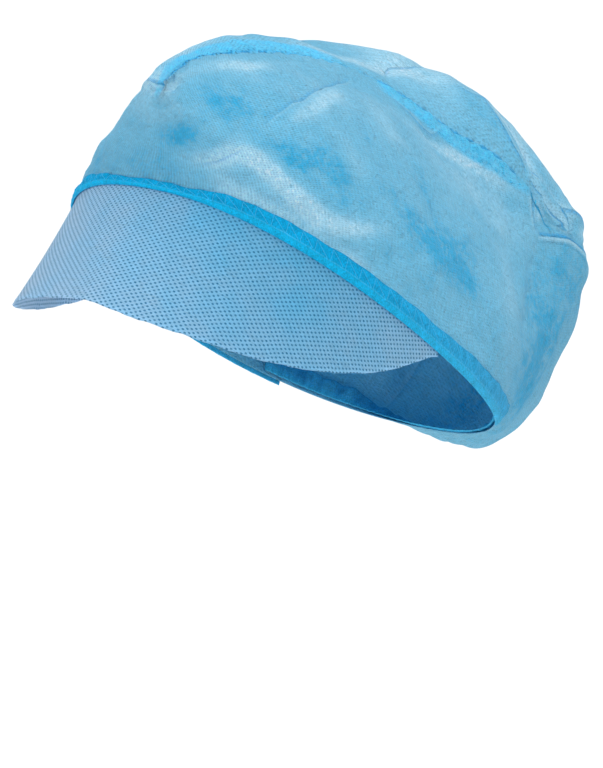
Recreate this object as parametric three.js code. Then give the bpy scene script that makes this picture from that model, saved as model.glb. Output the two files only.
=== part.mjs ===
// Disposable peaked cap: a thin nonwoven bag closed by one seam over the head, with a brow band,
// a stiffer peak and an elastic hem at the nape. Millimetres, +Z up, the peak points to -Y and the
// wearer's left side is +X. The origin is the middle of the rim, where the head goes in.
//
// A point of the crown has two coordinates. "turn" goes round the head in degrees: 0 is the brow,
// 90 the wearer's left ear, 180 the nape. "rise" goes up the cloth: 0 is the rim, 1 the top seam.
import * as THREE from "three";

// ---- driving sizes ----

const RIM_HALF_WIDTH = 74.5; // ear to ear
const RIM_HALF_LENGTH = 96.3; // brow to nape, along the slanting rim
const RIM_SLANT = 34.5; // degrees, brow high and nape low
const RIM_SQUARENESS = 2.2; // 2 would be an ellipse
const RIM_SAG = 3.9; // the rim hangs lower over the ears

const CLOTH = 1.2; // wall of the crown
const BAND = 1.2; // folded and overlocked edge
const BAND_WIDTH_BROW = 6;
const BAND_WIDTH_EAR = 8.5;
const BAND_END = 135; // turn at which the band stops, behind the ear
const ELASTIC = 1.4;
const ELASTIC_WIDTH = 9;
const ELASTIC_LIFT = 0.5; // its lower edge over the crown's
const FLANGE = 1; // the two seam allowances, lying together
const FLANGE_WIDTH = 6;
const FLANGE_LIFT = 2; // how far from the stitches they begin to lie flat
const PEAK = 1;
const PEAK_DEPTH = 56.5; // at the middle, rim to outer edge
const PEAK_MIDDLE = 3.7; // turn of its middle: it is worn a little to the wearer's left
const PEAK_REACH = 89; // degrees from its middle to where it runs out
const PEAK_DROP_MIDDLE = 38.7; // degrees below level
const PEAK_DROP_END = 92.8;
const PEAK_STEEPENING = 1.35; // how late the drop steepens from the middle to the ends
const PEAK_ROUNDING = 2.26; // the depth falls off with this power towards the ends
const PEAK_TIP = 0.983; // the share of the reach that is built, short of its sharp tips
const PEAK_FAN = 0.54; // how far its straight lines fan out, 0 parallel and 1 radial
const GAP = 0.3; // between neighbouring pieces

const AROUND = 72; // columns round the crown
const UP = 18; // rows from rim to seam
const CROWDING = 0.6; // how much closer the rows lie near the rim and the seam, 0 even
const FOLDS_START = 0.12; // the rise by which the folds have their full height
const FOLDS_END = 0.05; // and the rise short of the seam at which they begin to fade

// Every point of the crown faces away from this point inside the head.
const CORE = new THREE.Vector3(4, 25, 25);

// The top seam, from its front end above the brow to the gather at the back. share is the part of
// its length behind a row. It leans to the wearer's left towards the back.
const SEAM = [
  { share: 0.0, x: 0, y: -72, z: 92.5 },
  { share: 0.07, x: 0, y: -58, z: 98.5 },
  { share: 0.18, x: 0, y: -35.5, z: 99.3 },
  { share: 0.29, x: 1.5, y: -13, z: 97.6 },
  { share: 0.42, x: 4.5, y: 13, z: 92.1 },
  { share: 0.53, x: 11.5, y: 33, z: 84.4 },
  { share: 0.64, x: 20.5, y: 49, z: 72.9 },
  { share: 0.71, x: 26.5, y: 60, z: 64.1 },
  { share: 0.82, x: 35, y: 76, z: 53.7 },
  { share: 0.9, x: 39.5, y: 88, z: 41.2 },
  { share: 1.0, x: 42.5, y: 99, z: 25.3 },
];

// How the cloth runs from rim to seam. At the rim it leans outwards by lean degrees and is drawn
// that way by pull; at the seam it falls away by fall degrees and holds that line for reach.
const SECTIONS = [
  { turn: 0, lean: 5, pull: 7, fall: 36, reach: 3 },
  { turn: 35, lean: 6, pull: 22, fall: 12, reach: 30 },
  { turn: 70, lean: 1, pull: 35, fall: 8, reach: 42 },
  { turn: 100, lean: 2, pull: 46, fall: 48, reach: 37 },
  { turn: 118, lean: 15, pull: 46, fall: 73, reach: 33 },
  { turn: 130, lean: 23, pull: 40, fall: 77, reach: 37 },
  { turn: 142, lean: 45, pull: 28, fall: 62, reach: 29 },
  { turn: 155, lean: 99, pull: 27, fall: 26, reach: 28 },
  { turn: 180, lean: 128, pull: 60, fall: 1, reach: 57 },
  { turn: 205, lean: 68, pull: 54, fall: -30, reach: 70 },
  { turn: 235, lean: 27, pull: 71, fall: -61, reach: 77 },
  { turn: 270, lean: 3, pull: 63, fall: -22, reach: 80 },
  { turn: 305, lean: -4, pull: 25, fall: -12, reach: 39 },
  { turn: 325, lean: 5, pull: 18, fall: 10, reach: 26 },
];

// Folds and dents, each along a straight line between two points of the crown. height is how far
// the cloth stands out, or in where it is negative, and width how far that spreads to each side.
const FOLDS = [
  { name: "crease, seam end", turn: 80, rise: 0.87, toTurn: 62, toRise: 0.7, width: 6, height: -1.4 },
  { name: "crease, lower half", turn: 62, rise: 0.7, toTurn: 26, toRise: 0.35, width: 6, height: -1.2 },
  { name: "roll beside the crease", turn: 80, rise: 0.8, toTurn: 55, toRise: 0.56, width: 7, height: 1 },
  { name: "crease, far side", turn: 258, rise: 0.92, toTurn: 243, toRise: 0.81, width: 6, height: -1.4 },
  { name: "valley between lobes", turn: 149, rise: 0.86, toTurn: 176, toRise: 0.82, width: 6, height: -3.5 },
  { name: "top of the near lobe", turn: 139, rise: 0.76, toTurn: 163, toRise: 0.79, width: 8, height: 2.5 },
  { name: "edge of the left panel", turn: 139, rise: 0.93, toTurn: 126, toRise: 0.42, width: 7, height: 1.5 },
  { name: "behind that edge", turn: 140, rise: 0.72, toTurn: 130, toRise: 0.35, width: 7, height: -2 },
  { name: "notch above the brow", turn: 0, rise: 0.98, toTurn: 0, toRise: 0.72, width: 5, height: -2 },
];

// ---- the curves and surfaces that the pieces share ----

const radians = (degrees) => THREE.MathUtils.degToRad(degrees);
const signedPower = (value, power) => Math.sign(value) * Math.abs(value) ** power;

// A smooth curve through rows of a table, by cubic pieces. At each row the slope is that of its two
// neighbours; a closed table goes round every 360.
function smooth(rows, key, column, at, closed = false) {
  const last = rows.length - 1;
  const row = (i) => (closed ? rows[(i + rows.length) % rows.length] : rows[i]);
  const place = (i) => row(i)[key] + (closed ? 360 * Math.floor(i / rows.length) : 0);
  const secant = (i) => (row(i + 1)[column] - row(i)[column]) / (place(i + 1) - place(i));
  const slope = (i) => {
    if (!closed && i === 0) return secant(0);
    if (!closed && i === last) return secant(last - 1);
    const before = place(i) - place(i - 1);
    const after = place(i + 1) - place(i);
    return (secant(i - 1) * after + secant(i) * before) / (before + after);
  };
  let i = 0;
  while (i < (closed ? last : last - 1) && at > place(i + 1)) i += 1;
  const span = place(i + 1) - place(i);
  const t = (at - place(i)) / span;
  const rest = 1 - t;
  return rest * rest * (1 + 2 * t) * row(i)[column] + t * t * (3 - 2 * t) * row(i + 1)[column]
    + span * t * rest * (rest * slope(i) - t * slope(i + 1));
}

// The rim: a squarish ellipse, sagging at the ears, slanting down to the nape.
function rimPoint(turn) {
  const across = Math.sin(radians(turn));
  const along = Math.cos(radians(turn));
  const x = RIM_HALF_WIDTH * signedPower(across, 2 / RIM_SQUARENESS);
  const back = -RIM_HALF_LENGTH * signedPower(along, 2 / RIM_SQUARENESS);
  const sag = -RIM_SAG * across * across;
  const [slantSin, slantCos] = [Math.sin(radians(RIM_SLANT)), Math.cos(radians(RIM_SLANT))];
  return new THREE.Vector3(x, back * slantCos + sag * slantSin, sag * slantCos - back * slantSin);
}

function seamPoint(share) {
  return new THREE.Vector3(
    smooth(SEAM, "share", "x", share),
    smooth(SEAM, "share", "y", share),
    smooth(SEAM, "share", "z", share),
  );
}

const outward = (point) => point.clone().sub(CORE).normalize();

// The cloth before its folds: a cubic Bezier curve from the rim up to the seam.
function plainPoint(turn, rise) {
  const round = ((turn % 360) + 360) % 360;
  const column = (name) => smooth(SECTIONS, "turn", name, round, true);
  const level = new THREE.Vector3(Math.sin(radians(round)), -Math.cos(radians(round)), 0);
  const upright = new THREE.Vector3(0, Math.sin(radians(RIM_SLANT)) / 2, 1).normalize();
  const rim = rimPoint(round);
  const seam = seamPoint((1 - Math.cos(radians(round))) / 2);
  const [lean, fall] = [radians(column("lean")), radians(column("fall"))];
  const fromRim = level.clone().multiplyScalar(Math.sin(lean)).addScaledVector(upright, Math.cos(lean));
  const fromSeam = level.clone().multiplyScalar(Math.cos(fall)).setZ(-Math.sin(fall));
  const curve = new THREE.CubicBezierCurve3(
    rim,
    rim.clone().addScaledVector(fromRim, column("pull")),
    seam.clone().addScaledVector(fromSeam, column("reach")),
    seam,
  );
  return curve.getPoint(rise);
}

const foldLines = FOLDS.map((fold) => ({
  ...fold,
  line: new THREE.Line3(plainPoint(fold.turn, fold.rise), plainPoint(fold.toTurn, fold.toRise)),
}));

// The cloth with its folds. They fade out at the rim and at the seam, which stay where they are.
function crownPoint(turn, rise) {
  const point = plainPoint(turn, rise);
  const free = Math.min(1, rise / FOLDS_START) * Math.min(1, (1 - rise) / FOLDS_END);
  let height = 0;
  for (const { line, width, height: most } of foldLines) {
    const distance = line.closestPointToPoint(point, true, new THREE.Vector3()).distanceTo(point);
    height += most * Math.exp(-((distance / width) ** 2));
  }
  return point.addScaledVector(outward(point), height * free);
}

// The rise at a distance along the cloth from the rim, or back from the seam.
function riseAfter(turn, length, from = 0) {
  const step = from === 0 ? 0.004 : -0.004;
  let rise = from;
  let run = 0;
  let last = crownPoint(turn, rise);
  while (run < length) {
    rise += step;
    const next = crownPoint(turn, rise);
    run += next.distanceTo(last);
    last = next;
  }
  return rise;
}

// ---- cloth as solids ----

// A wall of cloth over a grid of columns and rows. place(column, row) gives the middle of the wall
// and the direction its outer face looks in. A ring closes on itself; in a sewn ring the top rows
// of its two halves are also joined, column to opposite column.
function clothGeometry({ columns, rows, thickness, place, ring = false, sewn = false }) {
  const positions = [];
  const sides = { outer: 1, inner: -1 };
  const number = { outer: new Map(), inner: new Map() };
  const vertex = (side, column, row) => {
    let c = ring ? column % columns : column;
    if (sewn && row === rows && c > columns / 2) c = columns - c;
    const key = c * (rows + 1) + row;
    if (!number[side].has(key)) {
      const { point, facing } = place(c, row);
      number[side].set(key, positions.length / 3);
      positions.push(...point.clone().addScaledVector(facing, (sides[side] * thickness) / 2));
    }
    return number[side].get(key);
  };
  const faces = [];
  const quad = (a, b, c, d) => faces.push(a, b, c, a, c, d);
  for (let c = 0; c < columns; c += 1) {
    for (let r = 0; r < rows; r += 1) {
      const corners = [[c, r], [c + 1, r], [c + 1, r + 1], [c, r + 1]];
      quad(...corners.map(([i, j]) => vertex("outer", i, j)));
      quad(...corners.reverse().map(([i, j]) => vertex("inner", i, j)));
    }
  }
  // the cut edges, walked with the cloth on the left
  const edge = (from, to) => quad(
    vertex("outer", ...to), vertex("outer", ...from), vertex("inner", ...from), vertex("inner", ...to),
  );
  for (let c = 0; c < columns; c += 1) {
    edge([c, 0], [c + 1, 0]);
    if (!sewn) edge([c + 1, rows], [c, rows]);
  }
  for (let r = 0; r < rows && !ring; r += 1) {
    edge([columns, r], [columns, r + 1]);
    edge([0, r + 1], [0, r]);
  }
  const geometry = new THREE.BufferGeometry();
  geometry.setAttribute("position", new THREE.Float32BufferAttribute(positions, 3));
  geometry.setIndex(faces);
  geometry.computeVertexNormals();
  return geometry;
}

// A strip that lies along the crown between two turns, at a height over its middle surface.
function stripGeometry({ fromTurn, toTurn, rows, thickness, over, riseOf }) {
  const columns = Math.round(Math.abs(toTurn - fromTurn) / (360 / AROUND));
  return clothGeometry({
    columns,
    rows,
    thickness,
    place: (column, row) => {
      const turn = fromTurn + ((toTurn - fromTurn) * column) / columns;
      const point = crownPoint(turn, riseOf(turn, row / rows));
      const facing = outward(point);
      return { point: point.addScaledVector(facing, over), facing };
    },
  });
}

// ---- the pieces ----

function crown() {
  const riseOf = (part) => part - (CROWDING * Math.sin(2 * Math.PI * part)) / (2 * Math.PI);
  return clothGeometry({
    columns: AROUND,
    rows: UP,
    thickness: CLOTH,
    ring: true,
    sewn: true,
    place: (column, row) => {
      const point = crownPoint((column * 360) / AROUND, riseOf(row / UP));
      return { point, facing: outward(point) };
    },
  });
}

// The brow band runs from behind one ear to behind the other, outside the crown's edge.
function browBand() {
  const width = (turn) => THREE.MathUtils.lerp(BAND_WIDTH_BROW, BAND_WIDTH_EAR, Math.abs(turn) / BAND_END);
  return stripGeometry({
    fromTurn: -BAND_END,
    toTurn: BAND_END,
    rows: 2,
    thickness: BAND,
    over: CLOTH / 2 + GAP + BAND / 2,
    riseOf: (turn, part) => riseAfter(turn, width(turn) * part),
  });
}

// The nape's hem is a casing on the inside that holds the elastic.
function napeElastic() {
  return stripGeometry({
    fromTurn: 130,
    toTurn: 230,
    rows: 2,
    thickness: ELASTIC,
    over: -(CLOTH / 2 + 2 * GAP + ELASTIC / 2), // drawn tight, so a little off the cloth
    riseOf: (turn, part) => riseAfter(turn, ELASTIC_LIFT + ELASTIC_WIDTH * part),
  });
}

// The seam allowances lie inside, turned to one side: the front ones to the wearer's right, the
// rear ones to the left.
function seamFlange(fromTurn, toTurn) {
  return stripGeometry({
    fromTurn,
    toTurn,
    rows: 1,
    thickness: FLANGE,
    over: -(CLOTH / 2 + 2 * GAP + FLANGE / 2),
    riseOf: (turn, part) => riseAfter(turn, THREE.MathUtils.lerp(FLANGE_WIDTH, FLANGE_LIFT, part), 1),
  });
}

// The peak is straight from the rim to its outer edge and drops more steeply towards its ends.
function peak() {
  const columns = 44;
  const rows = 5;
  const ruling = (column) => {
    const share = PEAK_TIP * ((2 * column) / columns - 1);
    const turn = PEAK_MIDDLE + PEAK_REACH * share;
    const heading = radians(PEAK_MIDDLE + PEAK_FAN * PEAK_REACH * share);
    const steepness = Math.abs(share) ** PEAK_STEEPENING;
    const drop = radians(THREE.MathUtils.lerp(PEAK_DROP_MIDDLE, PEAK_DROP_END, steepness));
    const level = new THREE.Vector3(Math.sin(heading), -Math.cos(heading), 0);
    const start = rimPoint(turn);
    start.z -= 2 * GAP + PEAK / 2;
    return {
      start,
      away: level.clone().multiplyScalar(Math.cos(drop)).setZ(-Math.sin(drop)),
      facing: level.clone().multiplyScalar(Math.sin(drop)).setZ(Math.cos(drop)),
      depth: PEAK_DEPTH * (1 - Math.abs(share) ** PEAK_ROUNDING),
    };
  };
  return clothGeometry({
    columns,
    rows,
    thickness: PEAK,
    place: (column, row) => {
      const { start, away, facing, depth } = ruling(column);
      // row 0 is the outer edge, so that the outer face looks up
      return { point: start.addScaledVector(away, depth * (1 - row / rows)), facing };
    },
  });
}

const PIECES = [
  { name: "crown", geometry: crown(), color: 0x7fc1e0, roughness: 0.85 },
  { name: "brow_band", geometry: browBand(), color: 0x169fdc, roughness: 0.8 },
  { name: "nape_elastic", geometry: napeElastic(), color: 0x2fa9dd, roughness: 0.85 },
  { name: "front_seam_flange", geometry: seamFlange(275, 320), color: 0x3db0e3, roughness: 0.85 },
  { name: "rear_seam_flange", geometry: seamFlange(95, 155), color: 0x3db0e3, roughness: 0.85 },
  { name: "peak", geometry: peak(), color: 0x8dbbe6, roughness: 0.8 },
];

const cap = new THREE.Group();
cap.name = "disposable_peaked_cap";
for (const { name, geometry, color, roughness } of PIECES) {
  const material = new THREE.MeshStandardMaterial({ color, roughness, metalness: 0 });
  const piece = new THREE.Mesh(geometry, material);
  piece.name = name;
  cap.add(piece);
}

export default cap;
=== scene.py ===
"""Disposable peaked cap: the cloth, threads, materials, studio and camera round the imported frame.

Shapes are worked out in millimetres and put into meshes in metres. -Y is the front, +X the wearer's
left, +Z up. A point of the crown has two coordinates: "turn" goes round the head in degrees, with 0
at the brow, 90 at the left ear and 180 at the nape; "rise" goes up the cloth, 0 at the rim and 1 at
the top seam.
"""

import math
from collections import namedtuple

import bpy
import numpy as np
from mathutils import Matrix, Vector


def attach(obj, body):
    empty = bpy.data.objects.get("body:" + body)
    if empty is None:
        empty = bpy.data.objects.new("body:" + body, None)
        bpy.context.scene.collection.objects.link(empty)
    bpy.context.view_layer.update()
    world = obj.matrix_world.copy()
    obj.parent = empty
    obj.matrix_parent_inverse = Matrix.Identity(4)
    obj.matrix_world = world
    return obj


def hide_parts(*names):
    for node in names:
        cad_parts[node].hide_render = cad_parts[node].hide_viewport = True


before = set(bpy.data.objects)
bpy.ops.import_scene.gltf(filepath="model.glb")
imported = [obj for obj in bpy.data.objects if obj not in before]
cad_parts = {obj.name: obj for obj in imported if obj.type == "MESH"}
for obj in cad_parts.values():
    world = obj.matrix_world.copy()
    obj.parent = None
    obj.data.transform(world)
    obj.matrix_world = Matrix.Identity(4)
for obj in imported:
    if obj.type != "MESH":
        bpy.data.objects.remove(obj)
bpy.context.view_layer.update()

bl_info = {
    "name": "Disposable peaked cap",
    "version": (1, 0, 0),
    "blender": (4, 5, 0),
    "location": "3D View > Sidebar > Peaked cap",
    "description": "Sews a nonwoven peaked cap from numpy surfaces and lights it",
    "category": "Add Mesh",
}

MM = 0.001
ROOT = "root"

# ---- the shape that the frame's solids have too ----

RIM_HALF_WIDTH = 74.5
RIM_HALF_LENGTH = 96.3
RIM_SLANT = math.radians(34.5)
RIM_SQUARENESS = 2.2
RIM_SAG = 3.9

CORE = np.array([4.0, 25.0, 25.0])  # the crown faces away from this point inside the head

Seam = namedtuple("Seam", "share x y z")
SEAM = [Seam(*row) for row in (
    (0.0, 0, -72, 92.5),
    (0.07, 0, -58, 98.5),
    (0.18, 0, -35.5, 99.3),
    (0.29, 1.5, -13, 97.6),
    (0.42, 4.5, 13, 92.1),
    (0.53, 11.5, 33, 84.4),
    (0.64, 20.5, 49, 72.9),
    (0.71, 26.5, 60, 64.1),
    (0.82, 35, 76, 53.7),
    (0.9, 39.5, 88, 41.2),
    (1.0, 42.5, 99, 25.3),
)]

# At the rim the cloth leans outwards by lean degrees and is drawn that way by pull; at the seam it
# falls away by fall degrees and holds that line for reach.
Section = namedtuple("Section", "turn lean pull fall reach")
SECTIONS = [Section(*row) for row in (
    (0, 5, 7, 36, 3),
    (35, 6, 22, 12, 30),
    (70, 1, 35, 8, 42),
    (100, 2, 46, 48, 37),
    (118, 15, 46, 73, 33),
    (130, 23, 40, 77, 37),
    (142, 45, 28, 62, 29),
    (155, 99, 27, 26, 28),
    (180, 128, 60, 1, 57),
    (205, 68, 54, -30, 70),
    (235, 27, 71, -61, 77),
    (270, 3, 63, -22, 80),
    (305, -4, 25, -12, 39),
    (325, 5, 18, 10, 26),
)]

# A fold follows a path: a turn, a rise in hundredths, the next turn and so on. height is how far
# the cloth stands out, width how far that spreads to the left of the path, and steep the share of
# it to the right. lip gives the layer and strength of a lip on the same path, as further down.
Fold = namedtuple("Fold", "path height width steep lip", defaults=(1, None))
FOLDS = [Fold(*row) for row in (
    # the left crease in two parts, and the roll beside it
    ((80, 87, 62, 70), -1.4, 6),
    ((62, 70, 26, 35), -1.2, 6),
    ((80, 80, 55, 56), 1, 7),
    # the right crease
    ((258, 92, 243, 81), -1.4, 6),
    # the valley between the lobes at the back, and the top of the near lobe
    ((149, 86, 176, 82), -3.5, 6),
    ((139, 76, 163, 79), 2.5, 8),
    # the left panel's edge, and the hollow behind it
    ((139, 93, 126, 42), 1.5, 7),
    ((140, 72, 130, 35), -2, 7),
    # the notch above the brow
    ((0, 98, 0, 72), -2, 5),
)]
FOLDS_START = 0.12
FOLDS_END = 0.05

# ---- sizes of the pieces, in millimetres ----

BAND_END = 135.0
BAND_WIDTH = (6.0, 8.5)  # at the brow and at its ends
PEAK_DEPTH = 56.5
PEAK_MIDDLE = 3.7
PEAK_REACH = 89.0
PEAK_DROP = (38.7, 92.8)  # degrees below level, at the middle and at the ends
PEAK_STEEPENING = 1.35
PEAK_ROUNDING = 2.26
PEAK_TIP = 0.983
PEAK_FAN = 0.54
PEAK_START = 1.1  # how far below the rim the peak leaves the band

ALLOWANCE = 7.0  # width of the two seam allowances, seen through the cloth
ALLOWANCE_START = 0.25  # the share of that width, next to the seam, that is not laid as a strip
FRONT_ALLOWANCE = (0.01, 0.45)  # shares of the seam where they lie to the wearer's right
REAR_ALLOWANCE = (0.52, 0.86)  # and where they lie to the left
FRONT_STRIP, REAR_STRIP = (272, 322), (95, 150)  # turns between which they are laid as strips
STRIP_INSIDE = 0.75  # from the crown's cloth to a strip's middle

ROUND = 550.0  # round the rim
TALL = 150.0  # height of the flat cut; from rim to seam the cloth here is 40 to 196, 117 on average
SEAM_LENGTH = 215.0  # scale of the marks along the top seam, which is 205 long
SEAM_PUCKER = 8.5  # from one pucker to the next along the top seam
BROW_PUCKER = 9.5  # and along the band
NAPE_GATHER = 7.4  # from one gather of the nape to the next
TABLE_REACH = 0.35  # how far up the cloth lengths are worked out
TABLE_STEPS = 48

# Creases, pleats and rolls too fine for the solids.
FINE_FOLDS = [Fold(*row) for row in (
    # the swell over the back, and the slack drawn in at the right brow
    ((226, 86, 216, 90, 204, 91, 192, 90, 180, 86, 168, 78, 162, 66, 159, 52), 3, 17),
    ((330, 20, 322, 40, 319, 58, 321, 74), -4.2, 17),
    # the left crease, the ridge under it and the loop under the seam
    ((82, 91, 76.5, 85, 63, 71, 49, 56), -0.8, 1.6),
    ((84, 90, 74, 79, 62, 66, 51, 54), 0.6, 2.2, 1.4),
    ((94, 93, 97, 90, 101, 88, 106, 90, 111, 96), 0.7, 1.8),
    # the right crease, the roll beside it, and the edge and corner of the facet behind
    ((258, 93, 254, 88, 248, 84, 240, 76), -1.1, 1.6, 1, (0, 0.8)),
    ((262, 90, 250, 81, 243, 75), 0.8, 2.5, 1.3),
    ((233, 86, 230, 92, 226, 97, 221, 97.5), 1.5, 6, 0.5),
    ((239, 86, 234, 88, 226, 84, 219, 85), 1.4, 7, 0.6, (2, 0.6)),
    # pleats over the back, from the seam down
    ((224, 90, 222, 92, 219, 94, 216, 96.5), -1.8, 1.8),
    ((219, 98.5, 209, 98, 196, 97, 176, 94, 152, 89), -1.8, 1.6, 1, (1, 1.1)),
    ((222, 95.5, 213, 95.5, 205, 95, 192, 93.5, 170, 90), -1.6, 1.8, 1, (2, 1)),
    ((214, 96.5, 205, 96.2, 190, 95.5, 165, 92), 1.4, 1.6),
    # the groove, the left panel's end and the two lobes
    ((140, 94, 142, 93, 145, 92, 147, 90, 149, 86), -1.8, 1.7),
    ((140, 88, 141, 80, 139, 74), -1.6, 2.2),
    ((138, 76.5, 146, 80, 155, 82, 163, 82, 170, 80), 1.8, 2.4),
    ((197, 94, 192, 91, 190, 87, 187, 84), 2.2, 2.6),
    ((184, 93, 178, 90, 174, 86), -2.2, 2.6),
    ((184, 74, 176, 74.5, 167, 72), 1.4, 4),
    ((196, 84.5, 188, 82.5, 181, 82.5), -1.8, 3),
    # the nape, from left to right
    ((150, 5, 149, 35, 148, 55), -0.9, 4),
    ((163, 4, 160, 30), -1.1, 4),
    ((187, 4, 190, 42), -1.1, 5),
    ((214, 5, 212, 40, 205, 62), -1.2, 6),
    # the right side
    ((232, 10, 238, 45, 246, 66), -1.3, 7),
    ((262, 16, 256, 42), -0.9, 6),
    ((296, 22, 276, 55, 262, 78), 1.1, 7, 0.7),
    ((318, 24, 306, 50, 294, 66), -0.9, 5),
    # the nape and the back, rising
    ((171, 3, 173, 22, 170, 42), 2.4, 5, 0.7),
    ((179, 3, 181, 30), -1.7, 4),
    ((197, 3, 200, 25, 206, 48), 2.6, 5.5, 0.6, (2, -0.35)),
    ((205, 3, 206, 26), -2, 4),
    ((222, 3, 225, 28, 221, 52), 2.6, 6, 0.6, (1, -0.35)),
    # over the right ear, and above it
    ((240, 15, 254, 34, 266, 58), 2.8, 9, 0.5, (1, -0.35)),
    ((286, 12, 290, 35, 282, 55), -2.2, 8),
    ((246, 58, 262, 66, 279, 80), 2.2, 6, 0.6, (2, -0.35)),
    # over the left ear
    ((84, 16, 96, 34, 104, 56), 0.9, 9, 0.7),
    ((92, 50, 87, 36, 79, 26), -0.9, 7),
    # streaks under the seam
    ((75, 65, 74, 53), -0.5, 3),
    ((86, 58, 88, 49, 90, 34), -0.8, 3.5),
    # the crumple at the left of the brow
    ((24, 33, 33, 29, 41, 23, 49, 23), 0.6, 3),
    ((21, 29, 28, 34, 36, 40), -0.7, 1.8),
    # round the seam's end over the brow
    ((8, 97, 16, 86, 24, 78), -0.5, 3, 1, (3, 0.2)),
    ((352, 97, 344, 87, 334, 78), -1.2, 3, 1, (2, 0.6)),
    ((346, 90, 336, 80, 326, 72), 1.8, 3, 1, (0, 0.8)),
)]

# How pale (below 0) or deep (above 0) the cloth looks along a path, and how wide that spreads.
# Many tints are painted light: pale as highlight on the ridges of folds and on lit facets, deep as
# shade in their valleys, grooves and hollows.
Tint = namedtuple("Tint", "path tone width")
TINTS = [Tint(*row) for row in (
    # the left side, mostly deep, from the brow to the back and round to the brow
    ((6, 44, 12, 47, 17, 48, 24, 44), 1.25, 5),
    ((44, 43, 48, 41, 51, 38, 57, 41, 62, 40, 61, 28), 0.85, 7),
    ((54, 55, 63, 64, 74, 77), -0.6, 3.5),
    ((75, 40, 81, 33, 86, 30, 91, 27, 100, 25), 0.75, 6),
    # painted shade in the two streaks under the seam
    ((75, 66, 74, 53), 0.3, 3.5),
    ((86, 59, 88, 49, 90, 34), 0.4, 5),
    ((87, 30, 95, 34, 103, 39), 0.7, 6),
    ((94, 27, 103, 26), 0.6, 5),
    ((131, 58, 137, 47, 146, 41), 0.3, 9),
    ((143, 72, 156, 72, 160, 55), 0.5, 14),
    ((139, 55, 145, 42, 146, 25, 154, 12), 0.65, 14),
    # painted shade inside the far lobe
    ((190, 92, 182, 88), 0.6, 6),
    ((343, 15, 356, 20, 12, 17), 0.3, 9),
    ((346, 42, 352, 60, 2, 72), -0.35, 12),
    ((30, 70, 40, 66, 52, 62), 0.65, 11),
    # the left side, pale, from the crumple at the brow to the top and the notch; on the crumple and
    # the flap at the notch the pale is painted highlight
    ((14, 34, 24, 33, 34, 37, 40, 35, 44, 28, 49, 20, 55, 17, 65, 20, 72, 24), -1.5, 4.5),
    ((16, 20, 26, 15, 33, 12, 41, 10, 50, 6, 62, 5), -0.8, 5),
    ((43, 51, 59, 62, 75, 78, 90, 79, 100, 72, 112, 70), -0.2, 7),
    ((66, 53, 67, 45, 70, 43), -0.5, 5),
    ((82, 78, 83, 68, 85, 61), -0.3, 6),
    ((101, 72, 117, 78, 127, 74), -0.4, 12),
    ((58, 6, 64, 6, 70, 6), -0.5, 5),
    ((87, 15, 96, 13, 106, 10), -0.15, 8),
    ((120, 58, 116, 33, 121, 17), -0.4, 9),
    ((43, 94, 49, 89, 55, 85), -0.1, 7),
    ((54, 86, 61, 90, 68, 92), -0.25, 2.5),
    ((318, 70, 328, 76, 337, 80), -1, 4),
    ((340, 80, 351, 87, 12, 86, 20, 80), -0.9, 4),
    # the right panel, the facet and the groove: painted highlight along the facet's lit edge and
    # beside the groove, painted shade on the facet's dark side and in the groove
    ((225, 60, 240, 78, 258, 72), -0.8, 22),
    ((226, 88, 214, 86, 204, 86), -0.8, 10),
    ((230, 80, 227, 88, 223, 93, 215, 96.5), -1.6, 3),
    ((238, 88, 234, 92, 229, 96), 0.45, 5),
    ((142, 88.5, 145, 87), -1.1, 2.2),
    ((139, 95, 143, 93, 147, 90, 149, 86), 2.4, 1.7),
    # the nape and the right side: mostly painted highlight on the ridges of folds and painted shade
    # in the valleys between them
    ((132, 30, 140, 25, 152, 30), 0.5, 12),
    ((300, 80, 290, 60, 296, 40), 0.4, 10),
    ((262, 30, 270, 40, 280, 30), 0.5, 12),
    ((246, 14, 262, 34, 274, 58), -0.6, 8),
    ((228, 10, 230, 30, 226, 50), -0.6, 6),
    ((203, 10, 206, 28, 212, 50), -0.5, 6),
    ((186, 15, 190, 40, 196, 60), 0.8, 8),
    ((228, 35, 222, 50, 230, 62), 0.5, 10),
)]

# A lip is a sharp edge along a path, lit on the path's left and dark on its right, or the other way
# round where its strength is below 0. Lips closer than 7 mm to each other are on different layers.
Lip = namedtuple("Lip", "layer strength path")
LIPS = [Lip(*fold.lip, fold.path) for fold in FINE_FOLDS if fold.lip] + [Lip(*row) for row in (
    (0, 0.7, (83, 92, 76.5, 85, 63, 71, 57, 65, 47, 54)),
    (0, 0.8, (136, 76, 138, 84, 138.5, 90, 140, 97)),
    (0, 0.9, (233, 84, 230, 91, 226, 96.5, 219, 98)),
    (1, 1.8, (172, 79, 163, 81, 155, 82, 146, 80, 138, 76.5)),
    (1, 0.6, (94, 94, 97, 90, 101, 88, 106, 90, 111, 97)),
    (1, 0.6, (20, 29, 28, 34, 36, 40)),
    (1, 0.15, (76, 68, 75, 60, 74, 50)),
    (2, 1.4, (139, 95, 142, 93, 145, 92, 147, 90, 149, 85)),
    (2, 0.15, (90, 62, 89, 50, 91, 36)),
    (3, 1.2, (198, 95, 193, 91, 190, 87, 187, 83)),
    (3, 0.8, (224, 88, 222, 92, 219, 94, 216, 96.8)),
)]
LIP_LAYERS = 4
LIP_FAR = 9.0  # a distance where no lip shows


def size(name, description, millimetres):
    return bpy.props.FloatProperty(
        name=name, description=description, default=millimetres * MM, unit="LENGTH", precision=5)


class CapSizes(bpy.types.PropertyGroup):
    """Sizes that a user would change."""

    cloth: size("Cloth", "Thickness of the crown's nonwoven", 0.35)
    band: size("Band", "Thickness of the folded brow band", 1.0)
    peak: size("Peak", "Thickness of the peak's nonwoven", 0.5)
    thread: size("Thread", "Thickness of the overlock thread", 0.2)
    stitch: size("Stitch", "From one stitch of the band to the next", 6.6)


def colour(name, description, value):
    return bpy.props.FloatVectorProperty(
        name=name, description=description, subtype="COLOR", size=3, default=value, min=0, max=1)


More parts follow.
